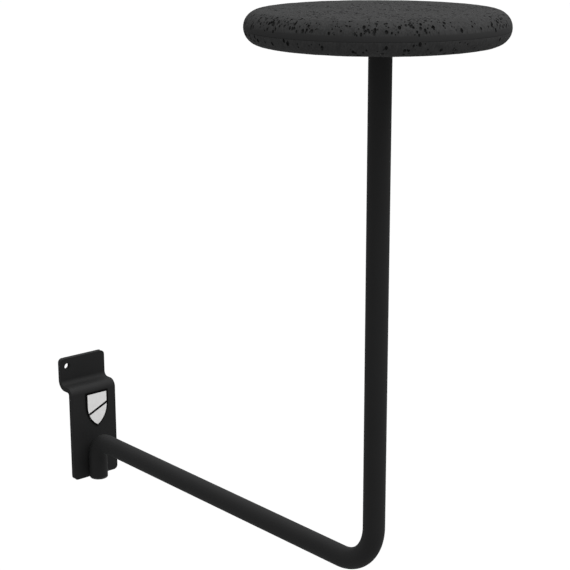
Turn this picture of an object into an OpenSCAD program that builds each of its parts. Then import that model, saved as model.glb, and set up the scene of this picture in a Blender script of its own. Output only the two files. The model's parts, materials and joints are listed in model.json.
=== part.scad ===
// Slotted-panel helmet display bracket: a hook plate that drops over a panel lip,
// one bent tube that runs out and up, and a foam pad on top of it.
// Frame: +Z up, the panel lies in the plane y = 0 and the arm runs towards -Y.
// Origin: where the arm's axis meets the plate's back face.

/* [Tube] */
// Outside diameter of the tube
tube_d = 12.7; // [10:0.1:16]
// Wall thickness of the tube
tube_wall = 1.5; // [0.8:0.1:2]
// Distance from the panel to the post's axis
reach = 289; // [180:1:400]
// Height of the pad's underside above the arm's axis
rise = 298; // [150:1:400]
// Centre-line radius of the bend from arm to post
bend_r = 27; // [20:0.5:60]
// Centre-line radius of the elbow from stub to arm
elbow_r = 12; // [10.5:0.5:18]
// How far the stub's capped end hangs below the arm's axis
stub_drop = 27.7; // [24:0.1:28.5]

/* [Hook plate] */
// Width of the plate
plate_w = 36.4; // [30:0.5:60]
// Thickness of the bent sheet
sheet_t = 3.5; // [2.5:0.1:4]
// Sideways offset of the plate's middle from the tube's axis
plate_shift = 2.1; // [-3:0.1:3]
// How far the plate hangs below the arm's axis
plate_drop = 28.6; // [26:0.1:40]
// Height of the shelf's top above the arm's axis
shelf_top = 38.7; // [36:0.1:50]
// Height of the flange's top above the arm's axis
flange_top = 57.5; // [54:0.1:75]
// Depth of the joggle, from back face to back face
joggle = 12.5; // [11:0.1:16]
// Inside radius of the bend from shelf to flange
upper_bend_r = 3.3; // [1:0.1:4]
// Inside radius of the bend from front plate to shelf
lower_bend_r = 1.8; // [1:0.1:3]
// Radius of the sheet's outer corners
corner_r = 3; // [1:0.5:5]
// Diameter of the hanging hole in the flange
hang_hole_d = 4.5; // [3:0.1:6]
// Distance of the hanging hole from the flange's top edge
hang_hole_down = 5.9; // [5:0.1:8]
// Distance of the hanging hole from the flange's left edge
hang_hole_in = 5.5; // [5:0.1:12]

/* [Pad] */
// Diameter of the pad over its half-round rim
pad_d = 139; // [110:1:200]
// Thickness of the pad
pad_t = 17.6; // [17:0.1:24]
// How far the seam between the pad's halves lies below the rim's middle
seam_down = 1.2; // [0:0.1:1.5]
// Sideways offset of the pad's middle from the post's axis
pad_shift_x = -1.3; // [-3:0.1:3]
// Offset of the pad's middle from the post's axis, towards the panel
pad_shift_y = 1.3; // [-3:0.1:3]
// Thickness of the glue film between the pad's halves
film_t = 0.3; // [0.1:0.1:0.5]
// How far the glue film stops short of the pad's rim
film_inset = 2.5; // [1:0.5:6]
// Diameter of the steel plate inside the pad
core_d = 100; // [60:1:104]
// Thickness of the steel plate inside the pad
core_t = 3; // [2:0.5:3.5]

/* [Label] */
// Width of the shield-shaped label
label_w = 18.4; // [12:0.2:24]
// Height of the shield-shaped label
label_h = 25.8; // [20:0.2:25.8]
// Height at which the label's sides begin to curve, from its top
label_straight = 9; // [4:0.5:12]
// Width of the dark border around the label's face
label_border = 1.4; // [0.4:0.1:2]
// Width of the slanting gap across the label's face
label_gap = 1.7; // [0.4:0.1:2]
// Thickness of the label's base layer
label_base_t = 0.3; // [0.1:0.05:0.5]
// Thickness of the label's face layer
label_face_t = 0.2; // [0.1:0.05:0.5]
// Sideways place of the label's middle
label_x = 4.5; // [-4:0.1:8]
// Height of the label's middle above the arm's axis
label_z = 20.4; // [19.8:0.1:21]

/* [Welds and plug] */
// Leg of the fillet that joins the post to the plate in the pad
core_weld_leg = 3; // [2:0.1:3.5]
// How far the stub's beads stop short of the tube's cut end
bead_inset = 1.2; // [0:0.1:4]
// Height at which the stub's beads end, below the arm's axis
bead_top_drop = 12; // [10:0.1:16]
// Thickness of the end plug's head
plug_head_t = 1.3; // [1:0.1:2]
// Length of the end plug's barrel inside the tube
plug_len = 9; // [6:0.5:12]
// Number of gripping ribs on the plug's barrel
plug_ribs = 3; // [2:1:4]

/* [Hidden] */
$fn = 96;
over = 1;                                   // how far cutters run past a face
tube_r = tube_d / 2;
bore_r = tube_r - tube_wall;
stub_y = -sheet_t - tube_r;                 // the stub lies against the plate's front
tube_end_z = plug_head_t - stub_drop;
plate_left = plate_shift - plate_w / 2;
lip_face_y = joggle - sheet_t;              // face of the flange that grips the panel's lip
shelf_bend_y = lip_face_y - upper_bend_r;
shelf_bend_z = shelf_top + upper_bend_r;
front_bend_z = shelf_top - sheet_t - lower_bend_r;
pad_x = pad_shift_x;
pad_y = pad_shift_y - reach;
rim_r = pad_t / 2;
rim_z = rise + rim_r;                       // the pad's widest level
seam_z = rim_z - seam_down;
core_z = seam_z - core_t;                   // the plate's underside, where the tube ends
weld_sink = 2;                              // depth of the bead's toe between tube and plate
bead_foot = 4.4;                            // reach of the bead's foot along the plate
bead_crest = [3.8, 1.6];                    // where the bead meets the tube, from the stub's axis
plug_rib_h = 0.25;
plug_rib_w = 1.2;
plug_edge_r = 0.8;
metal = [0.13, 0.13, 0.135];
foam = [0.17, 0.17, 0.17];
gap_angle = 24;                             // slope of the gap across the label's face

// A quarter ring in the first quadrant, as one bend of the sheet seen from its edge
module quarter_ring(inner, outer) {
    intersection() {
        difference() {
            circle(r = outer);
            circle(r = inner);
        }
        square(outer + over);
    }
}

// The sheet seen from its edge, with y to the right and z up
module sheet_profile() {
    translate([-sheet_t, -plate_drop]) square([sheet_t, front_bend_z + plate_drop]);
    translate([lower_bend_r, front_bend_z]) rotate(90)
        quarter_ring(lower_bend_r, lower_bend_r + sheet_t);
    translate([lower_bend_r, shelf_top - sheet_t])
        square([shelf_bend_y - lower_bend_r, sheet_t]);
    translate([shelf_bend_y, shelf_bend_z]) rotate(-90)
        quarter_ring(upper_bend_r, upper_bend_r + sheet_t);
    translate([lip_face_y, shelf_bend_z]) square([sheet_t, flange_top - shelf_bend_z]);
}

// The sheet seen from the front, with its four outer corners rounded
module sheet_outline() {
    top = flange_top - corner_r;
    bottom = corner_r - plate_drop;
    left = plate_left + corner_r;
    right = plate_left + plate_w - corner_r;
    translate([left, -plate_drop]) square([right - left, flange_top + plate_drop]);
    translate([plate_left, bottom]) square([plate_w, top - bottom]);
    for (x = [left, right], z = [bottom, top]) translate([x, z]) circle(r = corner_r);
}

module hook_plate() {
    color(metal) difference() {
        intersection() {
            translate([plate_left, 0, 0]) rotate([90, 0, 90])
                linear_extrude(plate_w) sheet_profile();
            translate([0, joggle + over, 0]) rotate([90, 0, 0])
                linear_extrude(joggle + sheet_t + 2 * over) sheet_outline();
        }
        translate([plate_left + hang_hole_in, joggle + over, flange_top - hang_hole_down])
            rotate([90, 0, 0]) cylinder(d = hang_hole_d, h = sheet_t + 2 * over);
    }
}

// The tube's centre line as rods and quarter bends of one radius
module tube_run(r) {
    translate([0, stub_y, tube_end_z]) cylinder(r = r, h = -elbow_r - tube_end_z);
    translate([0, stub_y - elbow_r, -elbow_r]) rotate([90, 0, 90])
        rotate_extrude(angle = 90) translate([elbow_r, 0]) circle(r = r);
    translate([0, stub_y - elbow_r, 0]) rotate([90, 0, 0])
        cylinder(r = r, h = reach - bend_r + stub_y - elbow_r);
    translate([0, bend_r - reach, bend_r]) rotate([90, 0, 90]) rotate(180)
        rotate_extrude(angle = 90) translate([bend_r, 0]) circle(r = r);
    translate([0, -reach, bend_r]) cylinder(r = r, h = core_z - bend_r);
}

module arm_tube() {
    color(metal) difference() {
        tube_run(tube_r);
        tube_run(bore_r);
        translate([0, stub_y, tube_end_z - over]) cylinder(r = bore_r, h = 2 * over);
        translate([0, -reach, core_z - over]) cylinder(r = bore_r, h = 2 * over);
    }
}

// The bead in the corner between the stub's right side and the plate
module stub_bead() {
    bottom = tube_end_z + bead_inset;
    color(metal) translate([0, -sheet_t, bottom])
        linear_extrude(-bead_top_drop - bottom) difference() {
            polygon([[weld_sink, 0], [bead_foot, 0], [bead_crest[0], -bead_crest[1]]]);
            translate([0, -tube_r]) circle(r = tube_r);
        }
}

module stub_weld_left() {
    mirror([1, 0, 0]) stub_bead();
}

module stub_weld_right() {
    stub_bead();
}

// Push-in plug with a soft-edged head and ribs that grip the tube's bore
module tube_plug() {
    rib_step = plug_len / (plug_ribs + 0.5);
    color([0.1, 0.1, 0.1]) translate([0, stub_y, -stub_drop]) rotate_extrude() {
        translate([0, plug_edge_r]) square([tube_r, plug_head_t - plug_edge_r]);
        square([tube_r - plug_edge_r, plug_head_t]);
        translate([tube_r - plug_edge_r, plug_edge_r]) circle(r = plug_edge_r);
        square([bore_r - plug_rib_h, plug_head_t + plug_len]);
        for (i = [1:plug_ribs])
            translate([0, plug_head_t + i * rib_step - plug_rib_w / 2]) square([bore_r, plug_rib_w]);
    }
}

// A shield with a flat top and two arcs that meet in a point, centred on its own height
module shield(w, h) {
    drop = h - label_straight;
    arc_x = (drop * drop - w * w / 4) / w;
    arc_r = arc_x + w / 2;
    translate([0, h / 2 - label_straight]) {
        translate([-w / 2, 0]) square([w, label_straight]);
        intersection() {
            translate([arc_x, 0]) circle(r = arc_r);
            translate([-arc_x, 0]) circle(r = arc_r);
            translate([-w / 2, -drop]) square([w, drop]);
        }
    }
}

module label_base() {
    color([0.05, 0.05, 0.05]) translate([label_x, -sheet_t, label_z]) rotate([90, 0, 0])
        linear_extrude(label_base_t) shield(label_w, label_h);
}

module label_face() {
    color([0.8, 0.8, 0.8]) translate([label_x, -sheet_t - label_base_t, label_z])
        rotate([90, 0, 0]) linear_extrude(label_face_t) difference() {
            shield(label_w - 2 * label_border, label_h - 2 * label_border);
            rotate(gap_angle) translate([-label_w, -label_gap / 2]) square([2 * label_w, label_gap]);
        }
}

module core_plate() {
    color([0.5, 0.5, 0.52]) translate([pad_x, pad_y, core_z]) cylinder(d = core_d, h = core_t);
}

module core_weld_shape() {
    translate([0, -reach, core_z]) rotate_extrude()
        polygon([[tube_r, 0], [tube_r + core_weld_leg, 0], [tube_r, -core_weld_leg]]);
}

module core_weld() {
    color([0.45, 0.45, 0.47]) core_weld_shape();
}

// The pad seen in section between two levels, measured from the middle of its half-round rim
module pad_section(low, high) {
    mid_r = pad_d / 2 - rim_r;
    intersection() {
        union() {
            translate([0, -rim_r]) square([mid_r, pad_t]);
            translate([mid_r, 0]) circle(r = rim_r);
        }
        translate([0, low]) square([pad_d, high - low]);
    }
}

module pad_lower() {
    color(foam) difference() {
        translate([pad_x, pad_y, rim_z]) rotate_extrude() pad_section(-rim_r, -seam_down);
        translate([pad_x, pad_y, core_z]) cylinder(d = core_d, h = core_t + over);
        translate([0, -reach, rise - over]) cylinder(r = tube_r, h = core_z - rise + 2 * over);
        core_weld_shape();
    }
}

module pad_upper() {
    color(foam) translate([pad_x, pad_y, rim_z]) rotate_extrude()
        pad_section(film_t - seam_down, rim_r);
}

module glue_film() {
    color([0.75, 0.7, 0.5]) translate([pad_x, pad_y, seam_z])
        cylinder(r = pad_d / 2 - film_inset, h = film_t);
}

hook_plate();
arm_tube();
stub_weld_left();
stub_weld_right();
tube_plug();
label_base();
label_face();
core_plate();
core_weld();
pad_lower();
pad_upper();
glue_film();
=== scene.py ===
import json
import math
import bmesh
import bpy
from mathutils import Matrix, Vector


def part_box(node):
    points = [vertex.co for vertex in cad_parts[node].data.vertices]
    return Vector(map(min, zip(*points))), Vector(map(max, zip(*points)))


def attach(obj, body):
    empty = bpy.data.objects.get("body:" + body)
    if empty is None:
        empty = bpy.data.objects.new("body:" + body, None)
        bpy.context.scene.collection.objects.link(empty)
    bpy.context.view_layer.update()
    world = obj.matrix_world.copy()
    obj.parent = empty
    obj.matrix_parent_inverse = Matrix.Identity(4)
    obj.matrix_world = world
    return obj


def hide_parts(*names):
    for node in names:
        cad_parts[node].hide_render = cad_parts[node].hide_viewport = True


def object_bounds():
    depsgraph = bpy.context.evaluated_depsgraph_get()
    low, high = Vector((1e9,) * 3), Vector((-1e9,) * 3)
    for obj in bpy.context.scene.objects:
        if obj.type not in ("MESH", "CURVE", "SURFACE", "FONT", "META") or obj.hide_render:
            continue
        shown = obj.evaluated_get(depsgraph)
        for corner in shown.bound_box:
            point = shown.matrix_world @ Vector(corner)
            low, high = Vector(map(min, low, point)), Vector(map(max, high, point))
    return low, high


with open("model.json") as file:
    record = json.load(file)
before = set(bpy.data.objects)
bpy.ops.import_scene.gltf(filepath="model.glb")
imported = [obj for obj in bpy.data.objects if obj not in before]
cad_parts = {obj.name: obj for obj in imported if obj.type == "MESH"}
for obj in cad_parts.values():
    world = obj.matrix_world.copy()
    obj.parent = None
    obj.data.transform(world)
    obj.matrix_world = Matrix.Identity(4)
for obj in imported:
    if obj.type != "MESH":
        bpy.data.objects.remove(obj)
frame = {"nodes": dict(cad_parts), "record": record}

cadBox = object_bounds()
scene = bpy.context.scene
mounts = {mount["name"]: mount for mount in frame["record"]["mounts"]}


# node trees

class Wire:
    # wraps an output socket, so that maths on it reads as a plain expression
    def __init__(self, graph, socket):
        self.graph, self.socket = graph, socket

    def out(self, name):
        return Wire(self.graph, self.socket.node.outputs[name])

    def maths(self, operation, *values):
        return self.graph.node("ShaderNodeMath", {"operation": operation}, dict(enumerate(values)))

    def __add__(self, other):
        return self.maths("ADD", self, other)

    def __sub__(self, other):
        return self.maths("SUBTRACT", self, other)

    def __rsub__(self, other):
        return self.maths("SUBTRACT", other, self)

    def __mul__(self, other):
        return self.maths("MULTIPLY", self, other)

    def __truediv__(self, other):
        return self.maths("DIVIDE", self, other)

    def __pow__(self, other):
        return self.maths("POWER", self, other)

    __radd__ = __add__
    __rmul__ = __mul__


class Graph:
    # one node tree; node() adds any node from its type, settings and sockets
    def __init__(self, tree):
        self.tree = tree

    def node(self, kind, settings=None, sockets=None, out=0):
        made = self.tree.nodes.new(kind)
        for key, value in (settings or {}).items():
            setattr(made, key, value)
        for key, value in (sockets or {}).items():
            self.feed(made, key, value)
        return Wire(self, made.outputs[out]) if len(made.outputs) else made

    def feed(self, made, key, value):
        for item in value if isinstance(value, list) else [value]:
            if isinstance(item, Wire):
                self.tree.links.new(item.socket, made.inputs[key])
            else:
                made.inputs[key].default_value = item

    def vector(self, operation, *values, out=0):
        return self.node("ShaderNodeVectorMath", {"operation": operation}, dict(enumerate(values)), out)

    def scaled(self, vector, factor):
        return self.node("ShaderNodeVectorMath", {"operation": "SCALE"}, {0: vector, "Scale": factor})

    def stretched(self, where, scale, turn=(0, 0, 0)):
        return self.node("ShaderNodeMapping", None, {"Vector": where, "Rotation": turn, "Scale": scale})

    def noise(self, where, scale, detail=3.0, roughness=0.5):
        return self.node("ShaderNodeTexNoise", None,
                         {"Vector": where, "Scale": scale, "Detail": detail, "Roughness": roughness})

    def ramp(self, value, low, high, start=0.0, end=1.0):
        return self.node("ShaderNodeMapRange", {"interpolation_type": "SMOOTHSTEP"},
                         {"Value": value, "From Min": low, "From Max": high, "To Min": start, "To Max": end})

    def blend(self, factor, first, second):
        return self.node("ShaderNodeMix", {"data_type": "RGBA"}, {0: factor, 6: first, 7: second}, out=2)

    def bump(self, strength, distance, height):
        sockets = {"Strength": strength, "Distance": distance, "Height": height}
        return self.node("ShaderNodeBump", None, sockets)

    def draw(self, low, high, seed):
        # a random number for each point
        sockets = {2: low, 3: high, "Seed": seed}
        return self.node("FunctionNodeRandomValue", {"data_type": "FLOAT"}, sockets, out=1)

    def realize(self, geometry):
        return self.node("GeometryNodeRealizeInstances", None, {"Geometry": geometry})

    def painted(self, geometry, material):
        return self.node("GeometryNodeSetMaterial", None, {"Geometry": geometry, "Material": material})


# mesh helpers

def newPiece(name, bm):
    # closes the seams, turns the faces outwards and links the object
    bmesh.ops.remove_doubles(bm, verts=bm.verts, dist=1e-7)
    bmesh.ops.recalc_face_normals(bm, faces=bm.faces)
    mesh = bpy.data.meshes.new(name)
    bm.to_mesh(mesh)
    bm.free()
    piece = bpy.data.objects.new(name, mesh)
    scene.collection.objects.link(piece)
    return piece


def settle(piece):
    # the evaluated piece becomes a plain mesh, with its modifiers gone
    graph = bpy.context.evaluated_depsgraph_get()
    mesh = bpy.data.meshes.new_from_object(piece.evaluated_get(graph), preserve_all_data_layers=True,
                                           depsgraph=graph)
    piece.modifiers.clear()
    piece.data = mesh


def smoothen(piece, sharpAngle=40):
    # smooth shading that keeps sharp edges, and keeps flat faces flat beside rounded ones
    mesh = piece.data
    mesh.polygons.foreach_set("use_smooth", [True] * len(mesh.polygons))
    mesh.set_sharp_from_angle(angle=math.radians(sharpAngle))
    even = piece.modifiers.new("even", "WEIGHTED_NORMAL")
    even.keep_sharp = True
    settle(piece)


def finishPiece(piece, nodes, slotName, *materials):
    for place, material in enumerate(materials):
        if place < len(piece.data.materials):
            piece.data.materials[place] = material
        else:
            piece.data.materials.append(material)
    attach(piece, "root")
    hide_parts(*nodes)
    print("made", piece.name, len(piece.data.polygons), "faces")


def arc(radius, start, end, steps):
    angles = [math.radians(start + (end - start) * n / steps) for n in range(steps + 1)]
    return [(radius * math.cos(a), radius * math.sin(a)) for a in angles]


def spin(bm, outline, segments, centre):
    # turns (radius, height) points about an upright axis, and returns the rings
    rings = []
    middleX, middleY = centre
    for radius, height in outline:
        count = segments if radius > 1e-7 else 1
        turns = [2 * math.pi * n / segments for n in range(count)]
        rings.append([bm.verts.new((middleX + radius * math.cos(a), middleY + radius * math.sin(a), height))
                      for a in turns])
    for low, high in zip(rings, rings[1:]):
        for n in range(segments):
            m = (n + 1) % segments
            corners = [low[n % len(low)], low[m % len(low)], high[m % len(high)], high[n % len(high)]]
            bm.faces.new(list(dict.fromkeys(corners)))
    return rings


def slab(bm, loops, thickness, edge, steps=4):
    # a flat plate in X and Y with rounded edges; a loop gives its points for an inset from the true edge,
    # and every loop after the first is a hole
    turn = [(edge - x, thickness / 2 - edge + y) for y, x in arc(edge, 90, 0, steps)]
    section = turn + [(inset, -height) for inset, height in reversed(turn)]
    caps = ([], [])
    for loop in loops:
        rings = [[bm.verts.new((x, y, height)) for x, y in loop(inset)] for inset, height in section]
        count = len(rings[0])
        for low, high in zip(rings, rings[1:]):
            for n in range(count):
                m = (n + 1) % count
                bm.faces.new((low[n], low[m], high[m], high[n]))
        for cap, ring in zip(caps, (rings[0], rings[-1])):
            cap += [bm.edges.get((ring[n], ring[(n + 1) % count])) for n in range(count)]
    for cap in caps:
        bmesh.ops.triangle_fill(bm, use_beauty=True, use_dissolve=False, edges=cap)


def newTree(name, sizes):
    # a Geometry Nodes tree with a geometry input and one named input for each size
    tree = bpy.data.node_groups.new(name, "GeometryNodeTree")
    kinds = {int: "NodeSocketInt", float: "NodeSocketFloat", tuple: "NodeSocketVector"}
    tree.interface.new_socket("Geometry", in_out="OUTPUT", socket_type="NodeSocketGeometry")
    tree.interface.new_socket("Geometry", in_out="INPUT", socket_type="NodeSocketGeometry")
    for label, value in sizes.items():
        kind = kinds.get(type(value), "NodeSocketMaterial")
        tree.interface.new_socket(label, in_out="INPUT", socket_type=kind)
    graph = Graph(tree)
    return graph, graph.node("NodeGroupInput")


def useTree(piece, graph, result, sizes):
    graph.node("NodeGroupOutput", None, {0: result})
    modifier = piece.modifiers.new(graph.tree.name, "NODES")
    modifier.node_group = graph.tree
    for item in graph.tree.interface.items_tree:
        if item.in_out == "INPUT" and item.name in sizes:
            modifier[item.identifier] = sizes[item.name]
    settle(piece)


def wireMesh(bm, points):
    verts = [bm.verts.new(point) for point in points]
    for first, second in zip(verts, verts[1:]):
        bm.edges.new((first, second))


# camera, light and floor

cameraSpec = {"place": (-0.56107, -0.86746, 0.38237), "yaw": 40.577, "pitch": -14.895, "roll": -0.125,
              "lens": 97.2, "sensor": 36, "farthest": 200}
lightSpec = {"floorDrop": 1.2, "floorSize": 80.0, "floorTone": 0.68, "ambient": 0.53, "backdrop": 1.0}
sunSpec = {"key": {"power": 3.25, "spread": 90.0, "from": (0.29, -0.24, 1.0)}}


def makeCamera():
    camera = bpy.data.objects.new("camera", bpy.data.cameras.new("camera"))
    scene.collection.objects.link(camera)
    turn = (Matrix.Rotation(math.radians(-cameraSpec["yaw"]), 4, "Z")
            @ Matrix.Rotation(math.radians(90 + cameraSpec["pitch"]), 4, "X")
            @ Matrix.Rotation(math.radians(cameraSpec["roll"]), 4, "Z"))
    camera.matrix_world = Matrix.Translation(cameraSpec["place"]) @ turn
    camera.data.lens = cameraSpec["lens"]
    camera.data.sensor_width = cameraSpec["sensor"]
    camera.data.clip_end = cameraSpec["farthest"]
    scene.camera = camera


def makeStage():
    size, level = lightSpec["floorSize"] / 2, cadBox[0].z - lightSpec["floorDrop"]
    bm = bmesh.new()
    bm.faces.new([bm.verts.new((x * size, y * size, level)) for x, y in ((-1, -1), (1, -1), (1, 1), (-1, 1))])
    floor = newPiece("floor", bm)
    material, graph, shader, where = newMaterial("paleFloor")
    plug(graph, shader, {"Base Color": grey(lightSpec["floorTone"]), "Roughness": 1.0,
                         "Specular IOR Level": 0.0})
    floor.data.materials.append(material)
    floor.visible_diffuse = False      # the floor is only a backdrop, so it throws no light up
    floor.visible_glossy = False

    for name, spec in sunSpec.items():
        sun = bpy.data.objects.new(name, bpy.data.lights.new(name, "SUN"))
        scene.collection.objects.link(sun)
        sun.data.energy = spec["power"]
        sun.data.angle = math.radians(spec["spread"])
        sun.rotation_euler = Vector(spec["from"]).to_track_quat("Z", "Y").to_euler()

    scene.world = bpy.data.worlds.new("studio")
    scene.world.use_nodes = True
    graph = Graph(scene.world.node_tree)
    seen = graph.node("ShaderNodeLightPath").out("Is Camera Ray")
    background = scene.world.node_tree.nodes["Background"]
    extra = lightSpec["backdrop"] - lightSpec["ambient"]
    graph.feed(background, "Strength", seen * extra + lightSpec["ambient"])
    background.inputs["Color"].default_value = (1, 1, 1, 1)
    scene.view_settings.view_transform = "Standard"


# materials

def newMaterial(name):
    material = bpy.data.materials.new(name)
    material.use_nodes = True
    graph = Graph(material.node_tree)
    shader = material.node_tree.nodes["Principled BSDF"]
    return material, graph, shader, graph.node("ShaderNodeTexCoord").out("Object")


def plug(graph, shader, sockets):
    for key, value in sockets.items():
        graph.feed(shader, key, value)


def grey(level, warmth=0.0):
    return (level * (1 + warmth), level, level * (1 - warmth), 1)


powderSpec = {"dark": 0.0146, "light": 0.0175, "worn": 0.03, "tint": -0.012, "cloud": 30.0, "grain": 0.0009,
              "depth": 0.000018, "satin": 0.6, "dull": 0.7, "specular": 0.12, "scuff": 700.0,
              "scuffStart": 0.62, "scuffFull": 0.75}


def powderCoat(name, soot=0.0):
    # black coat with a fine pebble, worn where the mesh says it rubs; the darkening factor makes it darker,
    # as painted shade for the crevice between the stub and the plate
    material, graph, shader, where = newMaterial(name)
    cloud = graph.noise(where, powderSpec["cloud"], 4.0, 0.6)
    speck = graph.noise(where, 1.4 / powderSpec["grain"], 2.0)
    dark, light = [grey(powderSpec[key] * (1 - soot), powderSpec["tint"]) for key in ("dark", "light")]
    tone = graph.blend(graph.ramp(cloud * 0.7 + speck * 0.3, 0.3, 0.7), dark, light)
    dull = graph.ramp(cloud, 0.35, 0.65, powderSpec["satin"], powderSpec["dull"])
    rub = graph.node("ShaderNodeAttribute", {"attribute_name": "rub"}, out=2)
    scuff = rub * graph.noise(where, powderSpec["scuff"], 5.0, 0.7)
    scuff = graph.ramp(scuff, powderSpec["scuffStart"], powderSpec["scuffFull"])
    pebble = graph.node("ShaderNodeTexVoronoi", {"feature": "SMOOTH_F1"},
                        {"Vector": where, "Scale": 1 / powderSpec["grain"], "Smoothness": 1.0})
    height = pebble * 0.6 + graph.noise(where, 2.6 / powderSpec["grain"], 2.0) * 0.4
    plug(graph, shader, {"Base Color": graph.blend(scuff, tone, grey(powderSpec["worn"])),
                         "Roughness": dull - scuff * 0.15, "Specular IOR Level": powderSpec["specular"],
                         "Normal": graph.bump(0.5, powderSpec["depth"], height)})
    return material


# the two pit tones darken the foam inside the pits, partly its own colour and partly painted shade
foamSpec = {"dark": 0.034, "light": 0.046, "belt": 0.032, "tint": -0.006, "beltHeight": 0.0028,
            "beltFade": (0.0003, 0.0007), "pitDark": 0.22, "pitLight": 0.6, "coarse": 0.0022, "fine": 0.0008,
            "cloud": 45.0, "stretch": 0.3, "depth": 0.0011, "roughness": 0.85, "specular": 0.04}


def foamSkin(name, seamHeight, tornAndShaded=False):
    # moulded skin with a fine grain drawn out down the rim, and a smooth belt above the seam;
    # the last argument makes it the foam inside a pit, darker partly for its torn cells and partly as painted
    # shade in the hollow
    material, graph, shader, where = newMaterial(name)
    height = graph.node("ShaderNodeSeparateXYZ", None, {0: where}).out("Z") - seamHeight
    before, after = foamSpec["beltFade"]
    overBelt = graph.ramp(height, foamSpec["beltHeight"] - before, foamSpec["beltHeight"] + after)
    rough = 1 - graph.ramp(height, -before, 0.0) * (1 - overBelt)
    drawn = graph.stretched(where, (1.0, 1.0, foamSpec["stretch"]))
    coarse = graph.noise(drawn, 1 / foamSpec["coarse"], 4.0, 0.6)
    fine = graph.noise(drawn, 1 / foamSpec["fine"], 3.0, 0.6)
    cloud = graph.noise(where, foamSpec["cloud"], 3.0, 0.55)
    speck = coarse * 0.4 + fine * 0.45 + cloud * 0.15
    dark, light, belt = [grey(foamSpec[key], foamSpec["tint"]) for key in ("dark", "light", "belt")]
    tone = graph.blend(rough, belt, graph.blend(graph.ramp(speck, 0.4, 0.6), dark, light))
    if tornAndShaded:
        # inside a pit the tone is darkened: partly the torn foam's own colour, partly painted shade in the
        # hollow
        tone = graph.scaled(tone, graph.ramp(fine, 0.35, 0.65, foamSpec["pitDark"], foamSpec["pitLight"]))
    bump = graph.bump(rough * 0.8 + 0.1, foamSpec["depth"], coarse * 0.6 + fine * 0.4)
    plug(graph, shader, {"Base Color": tone, "Roughness": foamSpec["roughness"] - fine * 0.1, "Normal": bump,
                         "Specular IOR Level": foamSpec["specular"]})
    return material


plasticSpec = {"level": 0.013, "grain": 2200.0, "haze": 160.0, "depth": 0.00003, "satin": 0.42, "dull": 0.6}


def mouldedPlastic(name):
    material, graph, shader, where = newMaterial(name)
    level = plasticSpec["level"]
    grain = graph.noise(where, plasticSpec["grain"], 3.0, 0.6)
    haze = graph.noise(where, plasticSpec["haze"], 3.0)
    plug(graph, shader, {"Base Color": graph.blend(haze, grey(level * 0.8), grey(level * 1.25)),
                         "Roughness": graph.ramp(haze, 0.3, 0.7, plasticSpec["satin"], plasticSpec["dull"]),
                         "Normal": graph.bump(0.4, plasticSpec["depth"], grain)})
    return material


vinylSpec = {"black": 0.003, "blackDirt": 0.1, "blackSpecular": 0.04, "grey": 0.84, "greyDirt": 0.06,
             "greySpecular": 0.5, "mottle": 260.0, "scratch": 2400.0, "wipe": 0.9, "roughness": 0.38,
             "wrinkle": 700.0, "depth": 0.00002}


def vinyl(name, colour):
    # cut film, a little mottled, with faint wiping scratches
    material, graph, shader, where = newMaterial(name)
    level, dirt = vinylSpec[colour], vinylSpec[colour + "Dirt"]
    mottle = graph.noise(where, vinylSpec["mottle"], 4.0, 0.6)
    wiped = graph.stretched(where, (1, 1, 0.06), (0, vinylSpec["wipe"], 0))
    scratch = graph.ramp(graph.noise(wiped, vinylSpec["scratch"], 2.0), 0.62, 0.72)
    tone = graph.blend(graph.ramp(mottle, 0.3, 0.7), grey(level * (1 - dirt), 0.01), grey(level))
    bump = graph.bump(0.25, vinylSpec["depth"], graph.noise(where, vinylSpec["wrinkle"], 2.0))
    plug(graph, shader, {"Base Color": graph.blend(scratch * 0.3, tone, grey(level * 0.8)),
                         "Roughness": vinylSpec["roughness"] + mottle * 0.2 + scratch * 0.1, "Normal": bump,
                         "Specular IOR Level": vinylSpec[colour + "Specular"]})
    return material


steelSpec = {"level": 0.42, "rust": (0.3, 0.24, 0.19, 1), "line": 1500.0, "bloom": 60.0, "depth": 0.00002,
             "roughness": 0.32}


def bareSteel(name):
    # rolled sheet with a bloom of rust
    material, graph, shader, where = newMaterial(name)
    line = graph.noise(graph.stretched(where, (1, 0.05, 1)), steelSpec["line"], 4.0, 0.6)
    bloom = graph.ramp(graph.noise(where, steelSpec["bloom"], 4.0, 0.6), 0.55, 0.75)
    plug(graph, shader, {"Base Color": graph.blend(bloom, grey(steelSpec["level"]), steelSpec["rust"]),
                         "Normal": graph.bump(0.3, steelSpec["depth"], line), "Metallic": 1 - bloom * 0.5,
                         "Roughness": steelSpec["roughness"] + line * 0.2 + bloom * 0.2})
    return material


glueSpec = {"dark": (0.38, 0.29, 0.12, 1), "light": (0.6, 0.5, 0.28, 1), "stroke": 500.0, "depth": 0.0001,
            "roughness": 0.3}


def driedGlue(name):
    material, graph, shader, where = newMaterial(name)
    stroke = graph.noise(graph.stretched(where, (1, 0.2, 1)), glueSpec["stroke"], 4.0, 0.6)
    plug(graph, shader, {"Base Color": graph.blend(stroke, glueSpec["dark"], glueSpec["light"]),
                         "Roughness": glueSpec["roughness"] + stroke * 0.3,
                         "Normal": graph.bump(0.5, glueSpec["depth"], stroke)})
    return material


# the hook plate: a rounded blank, cut across at its bend lines and then bent

plateSpec = {"shelfTop": 0.0387, "upperBend": 0.0033, "lowerBend": 0.0018, "cornerRadius": 0.003,
             "edge": 0.0002, "bendCuts": 10, "cornerSteps": 8, "holeSteps": 40}


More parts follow.
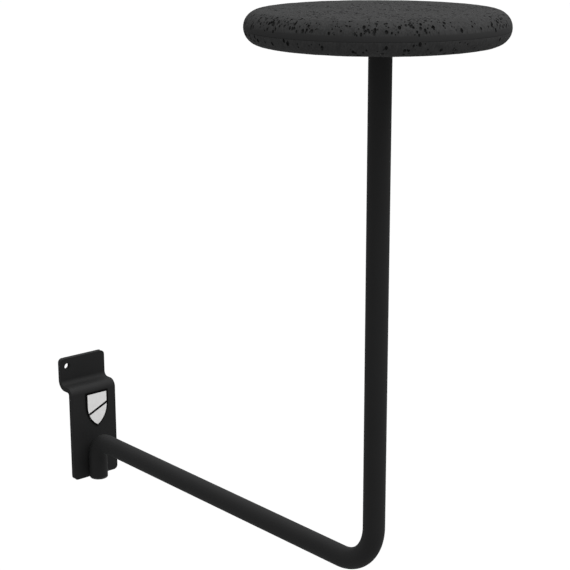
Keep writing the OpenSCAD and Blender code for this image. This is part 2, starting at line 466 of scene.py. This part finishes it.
def makeHookPlate(coat):
    low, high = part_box("hook_plate")
    thick, width = -low.y, high.x - low.x
    lipFace = high.y - thick
    frontBend = plateSpec["shelfTop"] - thick - plateSpec["lowerBend"]
    shelfBend = plateSpec["shelfTop"] + plateSpec["upperBend"]
    shelfEnd = lipFace - plateSpec["upperBend"]
    # the stretches of the blank from bottom to top
    lengths = [frontBend - low.z, math.pi / 2 * (plateSpec["lowerBend"] + thick / 2),
               shelfEnd - plateSpec["lowerBend"], math.pi / 2 * (plateSpec["upperBend"] + thick / 2),
               high.z - shelfBend]
    starts = [sum(lengths[:n]) for n in range(6)]
    hole = mounts["hang_hole"]
    holeX = hole["pos_m"][0] - low.x - width / 2
    holeUp = starts[4] + hole["pos_m"][2] - shelfBend
    holeRadius = hole["dims"]["r_mm"] / 1000

    def rim(inset):
        radius = plateSpec["cornerRadius"] - inset
        right, top = width / 2 - plateSpec["cornerRadius"], starts[5] - plateSpec["cornerRadius"]
        corners = [(right, top, 0), (-right, top, 90), (-right, plateSpec["cornerRadius"], 180),
                   (right, plateSpec["cornerRadius"], 270)]
        return [(x + u, y + v) for x, y, start in corners
                for u, v in arc(radius, start, start + 90, plateSpec["cornerSteps"])]

    def hangHole(inset):
        return [(holeX + u, holeUp + v)
                for u, v in arc(holeRadius + inset, 360, 0, plateSpec["holeSteps"])[:-1]]

    def bend(along, out):
        # the place in Y and Z of a point of the blank; out is positive on the front
        if along < starts[1]:
            return -thick / 2 - out, low.z + along
        if along < starts[2]:
            a = math.pi / 2 * (along - starts[1]) / lengths[1]
            radius = plateSpec["lowerBend"] + thick / 2 + out
            return plateSpec["lowerBend"] - radius * math.cos(a), frontBend + radius * math.sin(a)
        if along < starts[3]:
            return plateSpec["lowerBend"] + along - starts[2], plateSpec["shelfTop"] - thick / 2 + out
        if along < starts[4]:
            a = math.pi / 2 * (along - starts[3]) / lengths[3]
            radius = plateSpec["upperBend"] + thick / 2 - out
            return shelfEnd + radius * math.sin(a), shelfBend - radius * math.cos(a)
        return lipFace + thick / 2 - out, shelfBend + along - starts[4]

    bm = bmesh.new()
    slab(bm, [rim, hangHole], thick, plateSpec["edge"])
    cuts = plateSpec["bendCuts"]
    for stretch in (1, 3):
        for n in range(cuts + 1):
            place = starts[stretch] + lengths[stretch] * n / cuts
            bmesh.ops.bisect_plane(bm, geom=bm.verts[:] + bm.edges[:] + bm.faces[:], plane_co=(0, place, 0),
                                   plane_no=(0, 1, 0), dist=1e-7)
    rub = bm.verts.layers.float.new("rub")
    for vert in bm.verts:
        x, along, out = vert.co
        vert[rub] = 1.0 if abs(out) < thick / 2 - 1e-6 else 0.0
        y, z = bend(along, out)
        vert.co = (low.x + width / 2 + x, y, z)
    piece = newPiece("hookPlate", bm)
    smoothen(piece)
    finishPiece(piece, ["hook_plate"], "powder_coat", coat)


# the arm: one tube swept along its centre line, with two bends

armSpec = {"elbow": 0.012, "bend": 0.027, "wall": 0.0015, "sides": 72, "stepsPerBend": 24, "cutEdge": 0.00025,
           "edgeSteps": 3, "edgeAngle": 60}


def makeArm(coat):
    low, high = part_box("arm_tube")
    plugLow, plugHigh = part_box("tube_plug")
    radius = (high.x - low.x) / 2
    stubY, postY = (plugLow.y + plugHigh.y) / 2, low.y + radius
    bm = bmesh.new()
    wireMesh(bm, [(0, stubY, low.z), (0, stubY, 0), (0, postY, 0), (0, postY, high.z)])
    piece = newPiece("armTube", bm)

    sizes = {"Tube radius": radius, "Elbow radius": armSpec["elbow"], "Bend radius": armSpec["bend"],
             "Sides": armSpec["sides"], "Steps per bend": armSpec["stepsPerBend"], "Coat": coat}
    graph, given = newTree("bentTube", sizes)
    path = graph.node("GeometryNodeMeshToCurve", None, {"Mesh": given.out("Geometry")})
    corner = graph.node("GeometryNodeInputIndex")
    atElbow = corner.maths("COMPARE", corner, 1.0, 0.5)
    turn = atElbow * given.out("Elbow radius") + (1 - atElbow) * given.out("Bend radius")
    path = graph.node("GeometryNodeFilletCurve", {"mode": "POLY"},
                      {"Curve": path, "Count": given.out("Steps per bend"), "Radius": turn})
    section = graph.node("GeometryNodeCurvePrimitiveCircle", None,
                         {"Resolution": given.out("Sides"), "Radius": given.out("Tube radius")})
    skin = graph.node("GeometryNodeCurveToMesh", None, {"Curve": path, "Profile Curve": section})
    useTree(piece, graph, graph.painted(graph.realize(skin), given.out("Coat")), sizes)

    wall = piece.modifiers.new("wall", "SOLIDIFY")
    wall.thickness = armSpec["wall"]
    wall.offset = -1
    wall.use_even_offset = True
    ends = piece.modifiers.new("ends", "BEVEL")
    ends.width = armSpec["cutEdge"]
    ends.segments = armSpec["edgeSteps"]
    ends.limit_method = "ANGLE"
    ends.angle_limit = math.radians(armSpec["edgeAngle"])
    settle(piece)
    smoothen(piece)
    finishPiece(piece, ["arm_tube"], "powder_coat", coat)


# the beads beside the stub: a rippled bead swept up each corner

# the bead coat is darkened by a factor, as painted shade for the crevice between the stub and the plate
beadSpec = {"radius": 0.0008, "side": 0.00345, "out": 0.0006, "pitch": 0.0009, "ripple": 0.16, "samples": 160,
            "sides": 16, "endLength": 0.08, "endSize": 0.15, "wander": 0.0001, "wanderScale": 350.0,
            "seed": 7.0, "soot": 0.15}


def makeBeads(coat):
    for side, node in ((-1, "stub_weld_left"), (1, "stub_weld_right")):
        low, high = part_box(node)
        bm = bmesh.new()
        x, y = side * beadSpec["side"], high.y - beadSpec["out"]
        wireMesh(bm, [(x, y, low.z), (x, y, high.z)])
        piece = newPiece("beadLeft" if side < 0 else "beadRight", bm)
        sizes = {"Bead radius": beadSpec["radius"], "Ripple pitch": beadSpec["pitch"],
                 "Ripple height": beadSpec["ripple"], "Samples": beadSpec["samples"],
                 "Sides": beadSpec["sides"], "End length": beadSpec["endLength"],
                 "Wander": beadSpec["wander"], "Seed": beadSpec["seed"] + side, "Coat": coat}
        graph, given = newTree("weldBead", sizes)
        path = graph.node("GeometryNodeMeshToCurve", None, {"Mesh": given.out("Geometry")})
        path = graph.node("GeometryNodeResampleCurve", None, {"Curve": path, "Count": given.out("Samples")})
        along = graph.node("GeometryNodeSplineParameter")
        wave = along.out("Length") / given.out("Ripple pitch")
        crest = wave.maths("FRACT", wave) * 2 - 1
        swell = 1 - given.out("Ripple height") * crest * crest
        end = (0.5 - (along - 0.5).maths("ABSOLUTE", along - 0.5)) / given.out("End length")
        end = 1 - end.maths("MINIMUM", end, 1.0)
        taper = end.maths("SQRT", 1 - end * end)
        section = graph.node("GeometryNodeCurvePrimitiveCircle", None,
                             {"Resolution": given.out("Sides"), "Radius": given.out("Bead radius")})
        swell = swell * (taper * (1 - beadSpec["endSize"]) + beadSpec["endSize"])
        bead = graph.node("GeometryNodeCurveToMesh", None,
                          {"Curve": path, "Profile Curve": section, "Scale": swell, "Fill Caps": True})
        drift = graph.node("ShaderNodeTexNoise", {"noise_dimensions": "4D"},
                           {"Vector": graph.node("GeometryNodeInputPosition"), "W": given.out("Seed"),
                            "Scale": beadSpec["wanderScale"], "Detail": 1.0}, out=1)
        drift = graph.scaled(graph.vector("SUBTRACT", drift, (0.5, 0.5, 0.5)), given.out("Wander") * 2)
        bead = graph.node("GeometryNodeSetPosition", None, {"Geometry": bead, "Offset": drift})
        useTree(piece, graph, graph.painted(graph.realize(bead), given.out("Coat")), sizes)
        smoothen(piece, 60)
        finishPiece(piece, [node], "weld_bead", coat)


# the plug in the stub's end

plugSpec = {"head": 0.0013, "soft": 0.0008, "bore": 0.00485, "slack": 0.00025, "ribs": 3, "ribWidth": 0.0012,
            "gate": 0.0011, "gateDepth": 0.00025, "segments": 72}


def makePlug(plastic):
    low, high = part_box("tube_plug")
    radius, soft = (high.x - low.x) / 2, plugSpec["soft"]
    neck = low.z + plugSpec["head"]
    slim, step = plugSpec["bore"] - plugSpec["slack"], (high.z - neck) / (plugSpec["ribs"] + 0.5)
    outline = [(0, low.z + plugSpec["gateDepth"]), (plugSpec["gate"] * 0.6, low.z + plugSpec["gateDepth"]),
               (plugSpec["gate"], low.z)]
    outline += [(radius - soft + u, low.z + soft + v) for u, v in arc(soft, -90, 0, 6)]
    outline += [(radius, neck - 0.0001), (radius - 0.0001, neck), (slim, neck)]
    for n in range(1, plugSpec["ribs"] + 1):
        middle, half = neck + n * step, plugSpec["ribWidth"] / 2
        outline += [(slim, middle - half), (plugSpec["bore"], middle - half * 0.4),
                    (plugSpec["bore"], middle), (slim, middle + half)]
    outline += [(slim, high.z - 0.0003), (slim - 0.0003, high.z), (0, high.z)]
    bm = bmesh.new()
    spin(bm, outline, plugSpec["segments"], (0, (low.y + high.y) / 2))
    piece = newPiece("endPlug", bm)
    smoothen(piece, 35)
    finishPiece(piece, ["tube_plug"], "plug_plastic", plastic)


# the label: a plain shield in two layers of film, its face split by a slanting gap

labelSpec = {"straight": 0.009, "gap": 0.0017, "slope": 24.0, "edge": 0.00006, "arcSteps": 20}


def shield(width, height):
    def loop(inset):
        w, h = width - 2 * inset, height - 2 * inset
        shoulder, drop = h / 2 - labelSpec["straight"], h - labelSpec["straight"]
        arcX = (drop * drop - w * w / 4) / w
        radius = arcX + w / 2
        lowest = -math.degrees(math.asin(drop / radius))
        right = [(u - arcX, shoulder + v) for u, v in arc(radius, 0, lowest, labelSpec["arcSteps"])]
        left = [(-x, y) for x, y in reversed(right[:-1])]
        return [(-w / 2, h / 2), (w / 2, h / 2)] + right + left
    return loop


def layFlat(bm, low, high):
    # from the flat layout to the front of the plate
    for vert in bm.verts:
        x, y, z = vert.co
        vert.co = ((low.x + high.x) / 2 + x, (low.y + high.y) / 2 - z, (low.z + high.z) / 2 + y)


def makeLabel(black, paleGrey):
    low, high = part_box("label_base")
    bm = bmesh.new()
    slab(bm, [shield(high.x - low.x, high.z - low.z)], high.y - low.y, labelSpec["edge"], 2)
    layFlat(bm, low, high)
    base = newPiece("labelBase", bm)
    smoothen(base)
    finishPiece(base, ["label_base"], "label_black", black)

    low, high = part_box("label_face")
    slope = math.radians(labelSpec["slope"])
    across = Vector((-math.sin(slope), math.cos(slope), 0))
    bm = bmesh.new()
    for side in (-1, 1):
        half = bmesh.new()
        slab(half, [shield(high.x - low.x, high.z - low.z)], high.y - low.y, labelSpec["edge"], 2)
        cut = bmesh.ops.bisect_plane(half, geom=half.verts[:] + half.edges[:] + half.faces[:], dist=1e-7,
                                     plane_co=across * side * labelSpec["gap"] / 2, plane_no=across * side,
                                     clear_inner=True)
        bmesh.ops.edgeloop_fill(half, edges=[e for e in cut["geom_cut"] if isinstance(e, bmesh.types.BMEdge)])
        part = bpy.data.meshes.new("half")
        half.to_mesh(part)
        half.free()
        bm.from_mesh(part)
        bpy.data.meshes.remove(part)
    layFlat(bm, low, high)
    face = newPiece("labelFace", bm)
    smoothen(face)
    finishPiece(face, ["label_face"], "label_grey", paleGrey)


# the pad: two moulded foam halves with open pits in their skin

padSpec = {"segments": 288, "rimSteps": 26, "flatSteps": 24, "seamEdge": 0.00014, "seamGap": 0.00005,
           "lipWidth": 0.0022, "coreRadius": 0.05, "coreThick": 0.003, "weldLeg": 0.003,
           "smallest": 0.0003, "largest": 0.0009, "sizeBias": 2.2, "highest": -0.3, "deepest": 0.35,
           "depth": 0.8, "drawnOut": 0.7, "lengths": (0.85, 1.2), "clusterSize": 0.014, "fewest": 0.12,
           "bubblySide": (-0.75, -0.35, 0.0), "sidePull": 1.2, "wave": 0.00012, "waveSize": 0.007,
           "upperPits": 250000.0, "upperSeed": 11, "lowerPits": 130000.0, "lowerSeed": 4, "fill": 0.95}


def padHalf(name, upper, centre, radius, levels):
    # half of the disc as a spun outline; levels are the bottom, the seam, the upper half's glued face
    # and the top, and skin is 1 where pits may open
    bottom, seam, gluedFace, top = levels
    rimRadius, middle = (top - bottom) / 2, (top + bottom) / 2
    flat, edge, way = radius - rimRadius, padSpec["seamEdge"], 1 if upper else -1
    face = seam + padSpec["seamGap"] if upper else seam
    lean = (face - middle) / rimRadius
    start, reach = math.degrees(math.asin(lean)), flat + rimRadius * math.cos(math.asin(lean))
    steps = padSpec["flatSteps"]
    outline = [(flat * n / steps, middle + way * rimRadius) for n in range(steps)]
    outline += [(flat + u, middle + v) for u, v in arc(rimRadius, 90 * way, start, padSpec["rimSteps"])
                if abs(middle + v - face) > edge]
    outline += [(reach - edge + u, face + way * edge + v) for u, v in arc(edge, 0, -90 * way, 4)]
    if upper:
        lip = radius - padSpec["lipWidth"]
        outline += [(lip, face), (lip, gluedFace), (0, gluedFace)]
    else:
        recess = face - padSpec["coreThick"]
        outline += [(padSpec["coreRadius"], face), (padSpec["coreRadius"], recess), (0, recess)]
    bm = bmesh.new()
    skin = bm.verts.layers.float.new("skin")
    beltLow, beltHigh = seam - 0.0008, seam + foamSpec["beltHeight"] + 0.0004
    for ring in spin(bm, outline, padSpec["segments"], centre):
        for vert in ring:
            away = (vert.co.xy - Vector(centre)).length
            inRecess = not upper and vert.co.z > bottom + 0.0001 and away < padSpec["coreRadius"] + 0.0001
            vert[skin] = 0.0 if inRecess or beltLow < vert.co.z < beltHigh else 1.0
    return newPiece(name, bm)


def pitTree(sizes, bored):
    graph, given = newTree("foamPits", sizes)
    skin = graph.node("GeometryNodeInputNamedAttribute", {"data_type": "FLOAT"}, {"Name": "skin"})
    place = graph.node("GeometryNodeInputPosition")
    normal = graph.node("GeometryNodeInputNormal")

    # a gently uneven skin
    swell = graph.noise(place, 1 / padSpec["waveSize"], 2.0) - 0.5
    push = graph.scaled(normal, swell * given.out("Waviness") * 2 * skin)
    body = graph.node("GeometryNodeSetPosition", None, {"Geometry": given.out("Geometry"), "Offset": push})
    body = graph.painted(body, given.out("Skin"))

    # pits gather in clusters, more of them on the bubbly side
    cluster = graph.node("ShaderNodeTexNoise", {"noise_dimensions": "4D"},
                         {"Vector": place, "W": given.out("Cluster seed"),
                          "Scale": 1 / padSpec["clusterSize"], "Detail": 2.0})
    fromCentre = graph.vector("SUBTRACT", place, given.out("Centre"))
    lean = graph.vector("DOT_PRODUCT", fromCentre, given.out("Bubbly side"), out=1)
    chance = graph.ramp(cluster + lean * padSpec["sidePull"], 0.4, 0.66, padSpec["fewest"], 1.0)
    chance = chance * skin.maths("GREATER_THAN", skin, 0.99)
    points = graph.node("GeometryNodeDistributePointsOnFaces", {"distribute_method": "RANDOM"},
                        {"Mesh": body, "Density": chance * given.out("Pits per area"),
                         "Seed": given.out("Seed")})
    luck = graph.draw(0.0, 1.0, 3)
    spread = given.out("Largest pit") - given.out("Smallest pit")
    size = given.out("Smallest pit") + spread * luck ** given.out("Size bias")
    sink = graph.draw(given.out("Highest"), given.out("Deepest"), 4)
    sunk = graph.scaled(points.out("Normal"), size * sink * -1)
    spots = graph.node("GeometryNodeSetPosition", None, {"Geometry": points, "Offset": sunk})

    # on the rim a pit is drawn out up and down
    turned = graph.node("FunctionNodeAlignRotationToVector", {"axis": "X", "pivot_axis": "Z"},
                        {"Rotation": points.out("Rotation"), "Vector": (0.0, 0.0, 1.0)})
    steep = graph.node("ShaderNodeSeparateXYZ", None, {0: points.out("Normal")}).out("Z")
    longer = graph.draw(*padSpec["lengths"], 5)
    longer = longer + (1 - steep.maths("ABSOLUTE", steep)) * given.out("Drawn out")
    ball = graph.node("GeometryNodeMeshIcoSphere", None, {"Radius": 1.0, "Subdivisions": 2})
    shape = graph.node("ShaderNodeCombineXYZ", None,
                       {0: size * longer, 1: size, 2: size * given.out("Depth")})
    pits = graph.node("GeometryNodeInstanceOnPoints", None,
                      {"Points": spots, "Instance": ball, "Rotation": turned, "Scale": shape})
    cutters = [pits]
    if bored:
        # room for the tube and for the weld round its top
        bore, leg = given.out("Bore radius"), given.out("Weld leg")
        well = graph.node("GeometryNodeMeshCylinder", None, {"Vertices": 96, "Radius": bore, "Depth": 0.05})
        cone = graph.node("GeometryNodeMeshCone", None,
                          {"Vertices": 96, "Radius Top": bore + leg * 1.05, "Radius Bottom": bore * 0.98,
                           "Depth": leg * 1.05})
        down = graph.node("ShaderNodeCombineXYZ", None, {2: leg * -1})
        weldFoot = graph.vector("ADD", given.out("Tube top"), down)
        cutters += [graph.node("GeometryNodeTransform", None, {"Geometry": cutter, "Translation": spot})
                    for cutter, spot in ((well, given.out("Tube top")), (cone, weldFoot))]
    cutters = [graph.painted(cutter, given.out("Pit wall")) for cutter in cutters]
    body = graph.node("GeometryNodeMeshBoolean", {"operation": "DIFFERENCE", "solver": "MANIFOLD"},
                      {"Mesh 1": body, "Mesh 2": cutters})
    return graph, graph.realize(body)


def makePad(skin, pitWall):
    lowBox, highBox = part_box("pad_lower"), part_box("pad_upper")
    radius = (highBox[1].x - highBox[0].x) / 2
    centre = ((highBox[1].x + highBox[0].x) / 2, (highBox[1].y + highBox[0].y) / 2)
    seam = lowBox[1].z
    armLow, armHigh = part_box("arm_tube")
    tubeRadius = (armHigh.x - armLow.x) / 2
    for name, node, density, seed in (("padUpper", "pad_upper", padSpec["upperPits"], padSpec["upperSeed"]),
                                      ("padLower", "pad_lower", padSpec["lowerPits"], padSpec["lowerSeed"])):
        upper = name == "padUpper"
        piece = padHalf(name, upper, centre, radius, (lowBox[0].z, seam, highBox[0].z, highBox[1].z))
        sizes = {"Pits per area": density, "Smallest pit": padSpec["smallest"],
                 "Largest pit": padSpec["largest"], "Size bias": padSpec["sizeBias"],
                 "Highest": padSpec["highest"], "Deepest": padSpec["deepest"],
                 "Depth": padSpec["depth"], "Drawn out": padSpec["drawnOut"], "Waviness": padSpec["wave"],
                 "Bubbly side": padSpec["bubblySide"], "Centre": (*centre, seam), "Bore radius": tubeRadius,
                 "Weld leg": padSpec["weldLeg"], "Tube top": (0.0, armLow.y + tubeRadius, armHigh.z),
                 "Cluster seed": seed * 1.7, "Seed": seed, "Skin": skin, "Pit wall": pitWall}
        graph, body = pitTree(sizes, not upper)
        useTree(piece, graph, body, sizes)
        piece.data.polygons.foreach_set("use_smooth", [True] * len(piece.data.polygons))
        piece.data.set_sharp_from_angle(angle=math.radians(50))
        finishPiece(piece, [node], "pad_foam")


# everything

makeCamera()
makeStage()
print("camera, light and floor are set")

blackCoat = powderCoat("blackPowderCoat")
makeHookPlate(blackCoat)
makeArm(blackCoat)
# the beads get a darker coat: painted shade for the crevice they sit in
makeBeads(powderCoat("coatedBead", beadSpec["soot"]))
makePlug(mouldedPlastic("plugPlastic"))
makeLabel(vinyl("blackFilm", "black"), vinyl("greyFilm", "grey"))
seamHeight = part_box("pad_lower")[1].z
makePad(foamSkin("foamSkin", seamHeight), foamSkin("foamPit", seamHeight, True))

# the hidden pieces keep their own shapes and get a real finish
hiddenSteel = bareSteel("hiddenSteel")
hiddenGlue = driedGlue("driedGlue")
for node, material in (("core_plate", hiddenSteel), ("core_weld", hiddenSteel), ("glue_film", hiddenGlue)):
    for socket in frame["nodes"][node].material_slots:
        socket.material = material
print("materials are on the hidden pieces")
